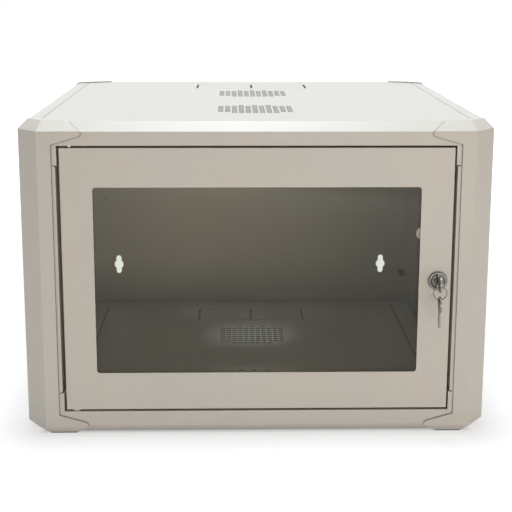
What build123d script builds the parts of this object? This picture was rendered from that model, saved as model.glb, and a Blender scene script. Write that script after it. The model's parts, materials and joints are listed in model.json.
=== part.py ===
from build123d import *
import os
from math import sqrt

# Wall mount network cabinet: 19 inch rack, 7 units high, welded and folded
# sheet steel, glazed front door with a cam lock and keys. Millimetres.
# Work frame: X to the right, Y from the front face back to the wall, Z up,
# with Y = 0 on the front face of the corner posts and Z = 0 under the feet.
# The finished pieces are moved so that the origin is the middle of the base.

# Overall cabinet
width = 600.0
depth = 550.0
height = 411.5
bevel = 12.4                # 45 degree edge all round the top and the base
corner_run_x = 27.0         # upright corner facet, measured across the front
corner_run_y = 29.0         # the same facet, measured along the side
post_sheet = 1.2            # corner posts lie over the frames
frame_sheet = 1.5
panel_sheet = 1.2
foot_drop = 3.3             # corner posts reach this far below the frames
seat_gap = 0.3              # lift-off panels and pads clear their seats by this

# Front frame opening and door
opening_from_side = 49.5
opening_low = 34.0
opening_from_top = 30.4
lip_depth = 23.5
lip_step = 1.9              # side lips stand further in above and below the notches
stop_width = 8.0
notch_from_edge = 25.2      # assembly notches in the lip, from its lower and upper edge
notch_tall = 1.4
notch_deep = 8.0
notch_wide = 4.0
door_gap_hinge = 4.9
door_gap_lock = 3.9
door_gap_low = 2.7
door_gap_high = 2.6
door_sheet = 1.5
door_thick = 16.0
door_edge_lip = 10.0
door_stile_hinge = 40.3     # door edge to window, on the hinge side
door_rail_low = 49.3        # the same below the window
door_rail_high = 49.9       # and above it
window_corner = 4.0

# Corner posts, as seen from the front
post_front = 44.6           # upright strip across the front
arm_reach = 80.0            # arm along the front rail, from the cabinet's side
arm_tip_drop = 6.0
arm_root_drop = 16.5
arm_tip_nose = 2.0
post_side = 46.6            # upright strip along the side
cap_reach = 64.4            # where the arm ends on the flat top, from the side
cap_tip_depth = 13.4
cap_side_depth = 37.5

# Top, floor and back
strip_wide = 29.0           # side rails, from the cabinet's side to the top panel
rail_shelf_wide = 39.0      # shelf of the side rails, under the panels
floor_level = 24.0
ledge_from_side = 54.0      # inner edge of the base rails' ledge over the floor
ledge_rise = 4.0            # top of that ledge above the floor
ledge_cover = 6.0           # the floor reaches this far under it
rail_end_gap = 8.0          # side rails' shelves end this far short of the rails
skirt_low = 30.5
skirt_from_top = 26.5
skirt_return = 13.5
skirt_lip = 10.0
frame_shelf = 20.0
edge_flat = 0.6             # flat left between a bevel and the panel beside it
back_opening_from_side = 38.0
back_opening_low = 26.0
back_opening_from_top = 25.5
back_overlap = 16.0
back_screw_inset = 12.5     # clear of the posts, with room for the heads

# Ventilation slots and cable knock-outs, the same in the top and the floor
vent_columns = 11
vent_pitch = 9.3
vent_rows = 9
slot_wide = 7.0
slot_long = 5.6
slot_pitch = 10.4
vent_from_front = 142.2     # middle of the front group
vent_from_back = 202.3      # middle of the rear group
knockout_wide = 86.7
knockout_long = 58.6
knockout_from_back = 64.0
knockout_slit = 3.0
knockout_cut = 0.8
knockout_tab = 5.0

# Keyholes in the back for hanging the cabinet on four screws
keyhole_from_side = 69.6
keyhole_from_edge = 89.0    # above the base and below the top
keyhole_slot_r = 4.5
keyhole_round_r = 7.8
keyhole_long = 32.0

# Side panels and their quarter-turn latches
side_fold = 12.0
side_clear = 0.8
latch_below_edge = 22.0
latch_face_r = 11.0
latch_face_proud = 2.5
latch_barrel_r = 8.0
latch_plug_r = 5.0
latch_slot = 1.6
latch_slot_deep = 1.6
cam_hole_r = 2.0
plug_sunk = 0.4             # cores end this far behind the face round them
latch_cam_long = 29.0
latch_cam_wide = 12.0
latch_cam_thick = 1.8
latch_nut_flats = 22.0
latch_nut_thick = 3.0

# 19 inch rails and the brackets that carry them
rack_unit = 44.45
rack_from_side = 75.0       # clear width of 450 between the rails
rack_hole_in = 7.55         # hole centres from the rails' inner edges
rack_hole = 9.5
rack_hole_steps = (6.35, 22.225, 38.1)
rack_sheet = 2.0
rack_setback = 62.0
rack_rail_deep = 34.0
rack_return = 12.0
rack_end_gap = 2.0
bracket_from_side = 52.0
bracket_start = 40.0
bracket_end = 230.0
bracket_tall = 30.0
bracket_foot = 20.0
bracket_sheet = 1.5
bracket_screw_inset = 15.0
bracket_slot_inset = 25.0

# Fasteners
screw_r = 3.0               # clearance holes; shanks are a little thinner
shank_r = 2.9
rail_hole_r = 3.4           # holes for the bracket screws in the side rails
screw_head_r = 5.5
screw_head_thick = 3.2
nut_flats = 10.0
nut_thick = 5.0
screw_long = 12.0
bracket_screw_long = 5.0
back_screw_long = 8.0
back_screw_head = 1.0

# Earth stud on the back
earth_from_side = 33.0
earth_z = 73.0
earth_long = 18.0
earth_washer_r = 6.0
earth_washer_thick = 1.0

# Lock and keys
lock_from_edge = 17.0
lock_face_r = 11.3
lock_face_proud = 3.0
lock_barrel_r = 9.5
lock_plug_r = 6.0
lock_past_stop = 0.5        # the barrel ends this far behind the frame's stop
lock_nut_flats = 22.0
lock_nut_thick = 4.0
lock_glass_clear = 1.0      # between the nut's corner and the pane
lock_lip_clear = 2.0        # the door's folded lip is cut away round the barrel
lock_face_round = 2.4
plug_clear = 0.05
cam_long = 18.0
cam_wide = 13.0
cam_thick = 2.0
cam_gap = 0.3
key_thick = 2.0
key_clear = 0.1
key_blade_tall = 7.0
key_blade_in = 17.0
key_bow_r = 10.5
key_neck = 4.0
key_hole_r = 3.0
keyway_spare = 0.5
key_notches = 3
key_notch_pitch = 4.0
key_notch = 1.6
cam_screw_r = 1.9
cam_screw_head_r = 4.0
cam_screw_head = 2.0
cam_screw_long = 5.0
ring_r = 8.4
ring_wire_r = 0.6
ring_play = 0.1             # the ring and the spare key hang with this gap
key_hole_out = 3.7          # the bow's hole, in front of its middle
spare_total = 40.0
spare_hole_edge = 3.2

# Door hinge
hinge_inset = 12.0
pin_r = 3.0
pin_clear = 0.06
lower_pin_up = 12.0
lower_pin_head = 2.0
washer_r = 6.0
washer_slack = 0.3
upper_pin_below_guide = 10.0
upper_pin_into_frame = 6.0
upper_pin_travel = 9.0
pin_collar_r = 4.6
pin_collar_thick = 2.5
pin_finger_long = 12.0
pin_tip_chamfer = 0.8
lower_pin_head_r = 5.0
spring_wire_r = 0.45
spring_turns = 7
spring_end_gap = 0.1
spring_over_pin = 0.35
guide_below_door = 10.5
guide_tall = 46.0
guide_sheet = 1.5
guide_wide = 16.0
guide_behind = 0.5          # the guide ends this far in front of the door's lip

# Glazing
glass_thick = 4.0
glass_overlap = 10.0
seal_thick = 1.0
seal_wide = 8.0
seal_inset = 1.0
clip_long = 24.0
clip_wide = 16.0
clip_round = 7.5
clip_sheet = 1.5
clip_over_glass = 8.0
clip_from_end = 60.6        # clip centres from the ends of the window's edges
clip_stud_r = 2.0
clip_nut_flats = 7.0
clip_nut_thick = 3.2
clip_stud_out = 6.0         # studs stand this far outside the pane
clip_stud_end = 1.5
clip_stud_clear = 0.1
seen_clip_shift = 6.5

# Pads between door and frame
pad_r = 3.0
pad_from_end = 40.0

# Faces and planes that follow from the sizes above
frame_front = post_sheet
frame_back = depth - post_sheet
frame_low = foot_drop
frame_high = height - post_sheet
frame_side = width / 2 - post_sheet
frame_bevel = bevel - (2 - sqrt(2)) * post_sheet
bevel_edge = post_sheet + frame_bevel
panel_start = bevel_edge + edge_flat
opening_half = width / 2 - opening_from_side
opening_high = height - opening_from_top
door_left = -opening_half + door_gap_hinge
door_right = opening_half - door_gap_lock
door_low = opening_low + door_gap_low
door_high = opening_high - door_gap_high
door_front = frame_front
door_back = door_front + door_thick
stop_front = frame_front + lip_depth
hinge_x = door_left + hinge_inset
hinge_y = door_front + door_thick / 2
lock_x = door_right - lock_from_edge
lock_z = (door_low + door_high) / 2
lock_barrel_end = stop_front + frame_sheet + lock_past_stop
door_stile_lock = (lock_from_edge + lock_nut_flats / sqrt(3) + lock_glass_clear
                   + glass_overlap)
window_left = door_left + door_stile_hinge
window_right = door_right - door_stile_lock
window_low = door_low + door_rail_low
window_high = door_high - door_rail_high
post_inner = width / 2 - post_front
arm_tip = width / 2 - arm_reach
cap_tip = width / 2 - cap_reach
strip_inner = width / 2 - strip_wide
rail_shelf_inner = strip_inner - rail_shelf_wide
ledge_inner = width / 2 - ledge_from_side
ledge_level = floor_level + ledge_rise
floor_half = ledge_inner + ledge_cover
skirt_high = height - skirt_from_top
back_opening_half = width / 2 - back_opening_from_side
back_opening_high = height - back_opening_from_top
vent_centres = (vent_from_front, depth - vent_from_back)
knockout_high = depth - knockout_from_back
knockout_low = knockout_high - knockout_long
keyhole_x = width / 2 - keyhole_from_side
keyhole_levels = (keyhole_from_edge, height - keyhole_from_edge)
rack_clear_half = width / 2 - rack_from_side
rack_hole_x = rack_clear_half + rack_hole_in
rack_units = int((opening_high - opening_low) // rack_unit)
bracket_half = width / 2 - bracket_from_side
earth_x = width / 2 - earth_from_side
guide_high = door_high - guide_below_door
guide_low = guide_high - guide_tall
upper_pin_low = guide_low - upper_pin_below_guide
shelf_high = frame_high - panel_sheet
floor_shelf = floor_level - panel_sheet
side_low = skirt_low + seat_gap
side_high = skirt_high - side_clear
side_front = post_side + side_clear
side_back = depth - side_front
latch_y = depth / 2
latch_z = side_high - latch_below_edge
bracket_screw_ys = (bracket_start + bracket_screw_inset, bracket_end - bracket_screw_inset)


def block(x0, x1, y0, y1, z0, z1):
    """A box between two corners."""
    size = Box(abs(x1 - x0), abs(y1 - y0), abs(z1 - z0))
    return Pos((x0 + x1) / 2, (y0 + y1) / 2, (z0 + z1) / 2) * size


def rod_y(x, z, y0, y1, radius):
    """A round bar along Y."""
    return Pos(x, (y0 + y1) / 2, z) * Rot(90, 0, 0) * Cylinder(radius, abs(y1 - y0))


def rod_x(y, z, x0, x1, radius):
    """A round bar along X."""
    return Pos((x0 + x1) / 2, y, z) * Rot(0, 90, 0) * Cylinder(radius, abs(x1 - x0))


def rod_z(x, y, z0, z1, radius):
    """A round bar along Z."""
    return Pos(x, y, (z0 + z1) / 2) * Cylinder(radius, abs(z1 - z0))


def hexagon_y(x, z, y0, y1, flats, bore):
    """A hexagon nut along Y."""
    nut = extrude(RegularPolygon(flats / 2, 6, major_radius=False), amount=abs(y1 - y0))
    nut = nut - Cylinder(bore, 3 * abs(y1 - y0))
    return Pos(x, max(y0, y1), z) * Rot(90, 0, 0) * nut


def hexagon_x(y, z, x0, x1, flats, bore):
    """A hexagon nut along X."""
    nut = extrude(RegularPolygon(flats / 2, 6, major_radius=False), amount=abs(x1 - x0))
    nut = nut - Cylinder(bore, 3 * abs(x1 - x0))
    return Pos(min(x0, x1), y, z) * Rot(0, 90, 0) * nut


def mirror_x(shape):
    """The same piece on the left."""
    return mirror(shape, about=Plane.YZ)


def mirror_y(shape):
    """The same piece at the back."""
    return mirror(shape, about=Plane.XZ.offset(-depth / 2))


def cabinet_form(inset, low, high, edge):
    """The cabinet's outer form, set in by `inset`, with a bevel of `edge` at top and base."""
    half = width / 2
    front = depth / 2
    plan = Polygon(
        (-half + corner_run_x, -front), (half - corner_run_x, -front),
        (half, -front + corner_run_y), (half, front - corner_run_y),
        (half - corner_run_x, front), (-half + corner_run_x, front),
        (-half, front - corner_run_y), (-half, -front + corner_run_y),
        align=None,
    )
    if inset > 0:
        plan = offset(plan, amount=-inset, kind=Kind.INTERSECTION)
    middle = extrude(plan, amount=high - low - 2 * edge)
    crown = extrude(plan, amount=edge, taper=45)
    body = Pos(0, 0, low + edge) * middle
    body += Pos(0, 0, high - edge) * crown
    body += Pos(0, 0, low + edge) * Rot(180, 0, 0) * crown
    return Pos(0, depth / 2, 0) * body


def skin(inset, low, high, edge, thick):
    """A sheet of the given thickness that follows the cabinet's form."""
    outer = cabinet_form(inset, low, high, edge)
    inner_edge = edge - (2 - sqrt(2)) * thick
    inner = cabinet_form(inset + thick, low + thick, high - thick, inner_edge)
    return outer - inner


frame_form = cabinet_form(post_sheet, frame_low, frame_high, frame_bevel)
frame_skin = skin(post_sheet, frame_low, frame_high, frame_bevel, frame_sheet)
post_form = cabinet_form(0, 0, height, bevel)


def corner_post():
    """Front right corner post: upright folded strip with arms along both rails and a foot."""
    crown = height - bevel
    view = Polygon(
        (post_inner, bevel + arm_root_drop), (arm_tip, bevel + arm_tip_drop),
        (arm_tip - arm_tip_nose, bevel + arm_tip_drop / 2), (arm_tip, bevel),
        (cap_tip, 0), (cap_tip, -1), (width / 2 + 1, -1), (width / 2 + 1, height + 1),
        (cap_tip, height + 1), (cap_tip, height), (arm_tip, crown),
        (arm_tip - arm_tip_nose, crown - arm_tip_drop / 2), (arm_tip, crown - arm_tip_drop),
        (post_inner, crown - arm_root_drop),
        align=None,
    )
    seen = Pos(0, -1, 0) * Rot(90, 0, 0) * extrude(view, amount=-depth / 4)
    plan = Polygon(
        (arm_tip - 3, -1), (width / 2 + 1, -1), (width / 2 + 1, post_side),
        (width / 2, post_side), (width / 2 - bevel, cap_side_depth),
        (cap_tip, cap_tip_depth), (arm_tip - 3, cap_tip_depth),
        align=None,
    )
    above = Pos(0, 0, -1) * extrude(plan, amount=height + 2)
    return (post_form - frame_form) & seen & above


def frame_ring(half, low, high, shelf_floor):
    """The beveled ring of a frame, cut out of the cabinet's skin at the front."""
    reach = corner_run_y + post_sheet
    front_face = frame_skin & block(-width, width, -1, frame_front + frame_sheet, 0, height)
    top_edge = frame_skin & block(-width, width, -1, panel_start, height / 2, height)
    low_edge = frame_skin & block(-width, width, -1, panel_start, 0, height / 2)
    corners = frame_skin & (
        block(post_inner, width, -1, reach, 0, height)
        + block(-width, -post_inner, -1, reach, 0, height)
    )
    ring = front_face + top_edge + low_edge + corners
    ring -= block(-strip_inner, strip_inner, panel_start, depth, shelf_high, height)
    ring -= block(-half, half, -1, frame_front + 2 * frame_sheet, low, high)
    shelves = block(-strip_inner, strip_inner, panel_start - frame_sheet,
                    panel_start + frame_shelf,
                    shelf_high - frame_sheet, shelf_high)
    shelves += block(-strip_inner, strip_inner, panel_start - frame_sheet, panel_start,
                     frame_low, shelf_floor)
    shelves += block(-strip_inner, strip_inner, panel_start - frame_sheet,
                     panel_start + frame_shelf,
                     shelf_floor - frame_sheet, shelf_floor)
    return ring + (shelves & frame_form)


def front_frame():
    """Front ring with a lip folded back round the door and a stop behind it."""
    ring = frame_ring(opening_half, opening_low, opening_high, floor_shelf)
    sheet = frame_sheet
    lip = block(-opening_half - sheet, opening_half + sheet, frame_front,
                stop_front + sheet, opening_low - sheet, opening_high + sheet)
    lip -= block(-opening_half, opening_half, 0, stop_front, opening_low, opening_high)
    for side in (-1, 1):
        for edge, notch in ((opening_low, opening_low + notch_from_edge),
                            (opening_high - notch_from_edge, opening_high)):
            lip += block(side * (opening_half - lip_step), side * opening_half,
                         frame_front, stop_front, edge, notch)
    lip -= block(-opening_half + stop_width, opening_half - stop_width, 0, 2 * lip_depth,
                 opening_low + stop_width, opening_high - stop_width)
    ring += lip
    ring -= rod_z(hinge_x, hinge_y, opening_high - 1, opening_high + 3, pin_r + pin_clear)
    ring -= rod_z(hinge_x, hinge_y, opening_low - 3, opening_low + 1, pin_r + pin_clear)
    for side in (-1, 1):
        for level in (opening_low + notch_from_edge, opening_high - notch_from_edge):
            ring -= block(side * (opening_half - 1), side * (opening_half - 1 + notch_wide),
                          0, notch_deep, level - notch_tall / 2, level + notch_tall / 2)
    return ring


def rear_frame():
    """Back ring, with a shelf set in by one sheet that the back panel is screwed to."""
    ring = frame_ring(back_opening_half, back_opening_low, back_opening_high, floor_shelf)
    inner = frame_front + frame_sheet
    lip = block(-back_opening_half - frame_sheet, back_opening_half + frame_sheet,
                frame_front, inner + frame_sheet,
                back_opening_low - frame_sheet, back_opening_high + frame_sheet)
    lip -= block(-back_opening_half, back_opening_half, 0, inner,
                 back_opening_low, back_opening_high)
    lip -= block(-back_opening_half + back_overlap, back_opening_half - back_overlap,
                 0, depth / 4, back_opening_low + back_overlap,
                 back_opening_high - back_overlap)
    ring += lip
    for x, z in back_screw_places():
        ring -= rod_y(x, z, 0, depth / 4, screw_r)
    return mirror_y(ring)


def back_screw_places():
    """Screw centres round the back panel."""
    side_x = back_opening_half - back_screw_inset
    middle = (back_opening_low + back_opening_high) / 2
    edge = back_opening_high - back_overlap / 2
    low_edge = back_opening_low + back_overlap / 2
    places = [(-side_x, middle), (side_x, middle)]
    places += [(x, z) for x in (-side_x, 0, side_x) for z in (low_edge, edge)]
    return places


def side_rail_top():
    """Right top rail: flat strip, bevel and skirt, with a shelf under the top panel."""
    y0 = corner_run_y + post_sheet + side_clear
    y1 = depth - y0
    sheet = frame_sheet
    rail = frame_skin & block(strip_inner, width, y0, y1, skirt_high, height)
    rail += block(rail_shelf_inner, strip_inner + sheet, y0 + rail_end_gap, y1 - rail_end_gap,
                  shelf_high - sheet, shelf_high)
    rail += block(strip_inner, strip_inner + sheet, y0, y1, shelf_high - sheet, frame_high)
    rail += block(frame_side - skirt_return, frame_side, y0, y1, skirt_high, skirt_high + sheet)
    rail += block(frame_side - skirt_return, frame_side - skirt_return + sheet, y0, y1,
                  skirt_high, skirt_high + skirt_lip)
    for y in bracket_screw_ys:
        rail -= rod_z(bracket_half + bracket_foot / 2, y, shelf_high - 2 * sheet, shelf_high,
                      rail_hole_r)
    return rail


def side_rail_low():
    """Right base rail: strip, bevel and skirt, a shelf under the floor and a ledge over it."""
    y0 = corner_run_y + post_sheet + side_clear
    y1 = depth - y0
    sheet = frame_sheet
    rail = frame_skin & block(strip_inner, width, y0, y1, 0, skirt_low)
    rail += block(strip_inner, strip_inner + sheet, y0, y1, frame_low, ledge_level)
    shelf_ends = (y0 + rail_end_gap, y1 - rail_end_gap)
    rail += block(rail_shelf_inner, strip_inner + sheet, *shelf_ends,
                  floor_shelf - sheet, floor_shelf)
    rail += block(ledge_inner, strip_inner + sheet, *shelf_ends, ledge_level - sheet, ledge_level)
    rail += block(ledge_inner, ledge_inner + sheet, *shelf_ends, floor_level, ledge_level)
    rail += block(frame_side - skirt_return, frame_side, y0, y1, skirt_low - sheet, skirt_low)
    for y in bracket_screw_ys:
        rail -= rod_z(bracket_half + bracket_foot / 2, y, ledge_level - 2 * sheet, ledge_level,
                      rail_hole_r)
    return rail


def vented_sheet(half, y0, y1, z0, z1):
    """A flat panel with two groups of vent slots and two cable knock-outs."""
    panel = block(-half, half, y0, y1, z0, z1)
    slots = []
    for centre in vent_centres:
        for column in range(vent_columns):
            x = (column - (vent_columns - 1) / 2) * vent_pitch
            from_end = min(column, vent_columns - 1 - column)
            front_lost = 1 if from_end < 2 else 0
            rear_lost = 1 if from_end < 2 or from_end % 2 == 0 else 0
            for row in range(front_lost, vent_rows - rear_lost):
                y = centre + (row - (vent_rows - 1) / 2) * slot_pitch
                slots.append(Pos(x, y, (z0 + z1) / 2) * Box(slot_wide, slot_long, 3 * (z1 - z0)))
    for edge in (-1, 0, 1):
        x = edge * knockout_wide
        slots.append(block(x - knockout_slit / 2, x + knockout_slit / 2,
                           knockout_low, knockout_high, z0 - 1, z1 + 1))
    free = knockout_wide - knockout_slit
    for centre in (-knockout_wide / 2, knockout_wide / 2):
        for line in (knockout_low, knockout_high):
            for part in (-1, 0, 1):
                run = free / 3 - knockout_tab
                x = centre + part * free / 3
                slots.append(block(x - run / 2, x + run / 2, line - knockout_cut / 2,
                                   line + knockout_cut / 2, z0 - 1, z1 + 1))
    return panel - slots


def top_panel():
    """Top panel, flush between the frames and the side rails."""
    y0 = panel_start + seat_gap
    half = strip_inner - seat_gap
    return vented_sheet(half, y0, depth - y0, shelf_high, frame_high) & frame_form


def bottom_panel():
    """Floor panel, laid on the shelves of the frames and the base rails."""
    y0 = panel_start
    return vented_sheet(floor_half, y0, depth - y0, floor_shelf, floor_level)


def keyhole(x, z):
    """A cross keyhole: a round middle with a slot above and below."""
    half = keyhole_long / 2 - keyhole_slot_r
    y0 = frame_back - 3 * frame_sheet
    y1 = depth + 1
    hole = rod_y(x, z, y0, y1, keyhole_round_r)
    hole += rod_y(x, z + half, y0, y1, keyhole_slot_r)
    hole += rod_y(x, z - half, y0, y1, keyhole_slot_r)
    hole += block(x - keyhole_slot_r, x + keyhole_slot_r, y0, y1, z - half, z + half)
    return hole


def rear_panel():
    """Back panel with four keyholes for the wall screws."""
    panel = block(-back_opening_half + seat_gap, back_opening_half - seat_gap,
                  frame_back - frame_sheet, frame_back,
                  back_opening_low + seat_gap, back_opening_high - seat_gap)
    for side in (-1, 1):
        for level in keyhole_levels:
            panel -= keyhole(side * keyhole_x, level)
    for x, z in back_screw_places():
        panel -= rod_y(x, z, 0, depth + 1, screw_r)
    return panel


def side_panel():
    """Right side panel: a flat sheet with its four edges folded in."""
    x1 = frame_side
    x0 = x1 - side_fold
    panel = block(x0, x1, side_front, side_back, side_low, side_high)
    inner = panel_sheet
    panel -= block(x0 - 1, x1 - inner, side_front + inner, side_back - inner,
                   side_low + inner, side_high - inner)
    panel -= rod_x(latch_y, latch_z, x0, x1 + 1, latch_barrel_r + plug_clear)
    return panel


latch_end = frame_side - skirt_return - cam_gap


def side_latch_body():
    """Round latch housing in the side panel."""
    housing = rod_x(latch_y, latch_z, latch_end, frame_side, latch_barrel_r)
    face = rod_x(latch_y, latch_z, frame_side, frame_side + latch_face_proud, latch_face_r)
    face = chamfer(face.edges().filter_by(GeomType.CIRCLE).sort_by(Axis.X)[-1], 1)
    housing += face
    return housing - rod_x(latch_y, latch_z, latch_end - 1, width, latch_plug_r + plug_clear)


def side_latch_nut():
    """Nut that clamps the latch to the panel."""
    inner = frame_side - panel_sheet
    return hexagon_x(latch_y, latch_z, inner - latch_nut_thick, inner,
                     latch_nut_flats, latch_barrel_r + plug_clear)


def side_latch_plug():
    """Turning core of the latch, with a coin slot across its face."""
    face = frame_side + latch_face_proud
    front = face - plug_sunk
    core = rod_x(latch_y, latch_z, latch_end - cam_gap, front, latch_plug_r)
    core -= block(front - latch_slot_deep, front + 1, latch_y - latch_plug_r,
                  latch_y + latch_plug_r, latch_z - latch_slot / 2, latch_z + latch_slot / 2)
    return core


def cam_plate(length, wide, thick, hole):
    """A latch tongue: rounded round its hole, straight and rounded at the tip."""
    plate = Cylinder(wide / 2, thick) + Pos(length / 2 - 1, 0, 0) * Box(length - 2, wide, thick)
    plate += Pos(length - wide / 4, 0, 0) * Box(wide / 2, wide * 0.7, thick)
    return plate - Cylinder(hole, 2 * thick)


def side_latch_cam():
    """Tongue of the side latch, turned to the front when released."""
    tongue = cam_plate(latch_cam_long, latch_cam_wide, latch_cam_thick, cam_hole_r)
    x = latch_end - cam_gap - latch_cam_thick / 2
    return Pos(x, latch_y, latch_z) * Rot(0, 90, 0) * Rot(0, 0, -90) * tongue


rack_low = (frame_low + frame_high) / 2 - rack_units * rack_unit / 2
rail_low = ledge_level + rack_end_gap
rail_high = shelf_high - frame_sheet - rack_end_gap
rail_screw_y = rack_setback + rack_rail_deep / 2
bracket_low_z = ledge_level + bracket_tall / 2
bracket_high_z = shelf_high - frame_sheet - bracket_tall / 2


def rack_rail():
    """Right 19 inch rail: square holes at the standard steps, web and rear return."""
    face = rack_setback
    rail = block(rack_clear_half, bracket_half, face, face + rack_sheet, rail_low, rail_high)
    rail += block(bracket_half - rack_sheet, bracket_half, face, face + rack_rail_deep,
                  rail_low, rail_high)
    rail += block(bracket_half - rack_return, bracket_half, face + rack_rail_deep - rack_sheet,
                  face + rack_rail_deep, rail_low, rail_high)
    holes = []
    for unit in range(rack_units):
        for step in rack_hole_steps:
            z = rack_low + unit * rack_unit + step
            holes.append(Pos(rack_hole_x, face, z) * Box(rack_hole, 4 * rack_sheet, rack_hole))
    for z in (bracket_low_z, bracket_high_z):
        holes.append(rod_x(rail_screw_y, z, rack_clear_half, width / 2, screw_r))
    return rail - holes


def depth_bracket(low):
    """Right bracket along the depth, with a slot in which the 19 inch rail is set."""
    if low:
        z0 = ledge_level
        z1 = z0 + bracket_tall
        foot = (z0, z0 + bracket_sheet)
    else:
        z1 = shelf_high - frame_sheet
        z0 = z1 - bracket_tall
        foot = (z1 - bracket_sheet, z1)
    x0 = bracket_half
    leg = block(x0, x0 + bracket_sheet, bracket_start, bracket_end, z0, z1)
    slot_z = (z0 + z1) / 2
    slot_ends = (bracket_start + bracket_slot_inset, bracket_end - bracket_slot_inset)
    leg -= block(x0 - 1, x0 + 3, slot_ends[0], slot_ends[1], slot_z - screw_r, slot_z + screw_r)
    for y in slot_ends:
        leg -= rod_x(y, slot_z, x0 - 1, x0 + 3, screw_r)
    bracket = leg + block(x0, x0 + bracket_foot, bracket_start, bracket_end, *foot)
    for y in bracket_screw_ys:
        bracket -= rod_z(x0 + bracket_foot / 2, y, foot[0] - 1, foot[1] + 1, screw_r)
    return bracket


def rack_rail_screws():
    """Screws that clamp the two rails to their brackets."""
    screws = []
    for z in (bracket_low_z, bracket_high_z):
        inner = bracket_half - rack_sheet
        screw = rod_x(rail_screw_y, z, inner, inner + screw_long, shank_r)
        screw += rod_x(rail_screw_y, z, inner - screw_head_thick, inner, screw_head_r)
        screws += [screw, mirror_x(screw)]
    return Compound(children=screws)


def rack_rail_nuts():
    """Nuts behind the brackets."""
    nuts = []
    for z in (bracket_low_z, bracket_high_z):
        outer = bracket_half + bracket_sheet
        nut = hexagon_x(rail_screw_y, z, outer, outer + nut_thick, nut_flats, screw_r)
        nuts += [nut, mirror_x(nut)]
    return Compound(children=nuts)


def bracket_screws():
    """Screws that hold the brackets to the base rails' ledges and the top rails' shelves."""
    x = bracket_half + bracket_foot / 2
    low_seat = ledge_level + bracket_sheet
    high_seat = shelf_high - frame_sheet - bracket_sheet
    screws = []
    for y in bracket_screw_ys:
        low = rod_z(x, y, low_seat, low_seat + screw_head_thick, screw_head_r)
        low += rod_z(x, y, low_seat - bracket_screw_long, low_seat, shank_r)
        high = rod_z(x, y, high_seat - screw_head_thick, high_seat, screw_head_r)
        high += rod_z(x, y, high_seat, high_seat + bracket_sheet + frame_sheet,
                      shank_r)
        screws += [low, high, mirror_x(low), mirror_x(high)]
    return Compound(children=screws)


def back_panel_screws():
    """Low-headed screws round the back panel."""
    screws = []
    for x, z in back_screw_places():
        screw = rod_y(x, z, frame_back, frame_back + back_screw_head, screw_head_r)
        screw += rod_y(x, z, frame_back - back_screw_long, frame_back, shank_r)
        screws.append(screw)
    return Compound(children=screws)


def earth_stud():
    """Threaded earth stud welded to the back frame."""
    inner = frame_back - frame_sheet
    return rod_y(earth_x, earth_z, inner - earth_long, inner, screw_r)


def earth_nut():
    """Flanged nut on the earth stud."""
    seat = frame_back - 2 * frame_sheet
    face = seat - earth_washer_thick
    bore = screw_r + plug_clear
    nut = hexagon_y(earth_x, earth_z, face - nut_thick, face, nut_flats, bore)
    washer = rod_y(earth_x, earth_z, face, seat, earth_washer_r)
    return nut + (washer - rod_y(earth_x, earth_z, face - 1, seat + 1, bore))


def window_outline(grow):
    """The window's rounded rectangle, larger by `grow`, as seen from the front."""
    return RectangleRounded(window_right - window_left + 2 * grow,
                            window_high - window_low + 2 * grow, window_corner + grow)


def across_window(outline, y0, y1):
    """An outline of the window carried from y0 to y1."""
    across = (window_left + window_right) / 2
    up = (window_low + window_high) / 2
    return Pos(across, y1, up) * Rot(90, 0, 0) * extrude(outline, amount=y1 - y0)


def door_frame():
    """Door pan: front sheet with the window, folded edges and a lip behind."""
    sheet = door_sheet
    pan = block(door_left, door_right, door_front, door_back, door_low, door_high)
    pan -= block(door_left + sheet, door_right - sheet, door_front + sheet, door_back - sheet,
                 door_low + sheet, door_high - sheet)
    lip = door_edge_lip
    pan -= block(door_left + lip, door_right - lip, door_front + sheet, door_back + 1,
                 door_low + lip, door_high - lip)
    pan -= across_window(window_outline(0), -5, door_front + 2 * sheet)
    pan -= rod_y(lock_x, lock_z, -5, door_front + 2 * sheet, lock_barrel_r + plug_clear)
    pan -= rod_y(lock_x, lock_z, door_back - 2 * sheet, door_back + 1,
                 lock_barrel_r + lock_lip_clear)
    for level in (door_low, door_high):
        pan -= rod_z(hinge_x, hinge_y, level - 3, level + 3, pin_r + pin_clear)
    return pan


glass_front = door_front + door_sheet + seal_thick


def glass_seal():
    """Rubber strip between the door sheet and the glass."""
    ring = window_outline(seal_inset + seal_wide) - window_outline(seal_inset)
    return across_window(ring, glass_front - seal_thick, glass_front)


def door_glass():
    """Toughened glass pane behind the window."""
    return across_window(window_outline(glass_overlap), glass_front, glass_front + glass_thick)


def clip_places():
    """Clip centres on the window's edge and the turn of each, outwards."""
    near_low = window_low + clip_from_end
    near_high = window_high - clip_from_end
    places = [(window_right, near_low, 0, 0), (window_right, near_high, 0, seen_clip_shift)]
    places += [(window_left, near_low, 180, 0), (window_left, near_high, 180, 0)]
    for x in (window_left + clip_from_end, window_right - clip_from_end):
        places += [(x, window_high, -90, 0), (x, window_low, 90, 0)]
    return places


def glass_clip(shift):
    """A pressed clip on a welded stud: a plate over the glass with a foot on the door."""
    y_glass = glass_front + glass_thick
    inner = glass_overlap - clip_over_glass - shift
    outer = inner + clip_long
    plate = block(inner, outer, y_glass, y_glass + clip_sheet, -clip_wide / 2, clip_wide / 2)
    ends = plate.edges().filter_by(Axis.Y).sort_by(Axis.X)[:2]
    plate = fillet(ends, clip_round)
    plate += block(outer - clip_sheet, outer, door_front + door_sheet, y_glass + clip_sheet,
                   -clip_wide / 2, clip_wide / 2)
    stud_x = glass_overlap + clip_stud_out
    return plate - rod_y(stud_x, 0, y_glass - 1, y_glass + 4, clip_stud_r + clip_stud_clear)


def clip_stud():
    """The welded stud of a clip."""
    y0 = door_front + door_sheet
    y1 = glass_front + glass_thick + clip_sheet + clip_nut_thick + clip_stud_end
    return rod_y(glass_overlap + clip_stud_out, 0, y0, y1, clip_stud_r)


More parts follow.
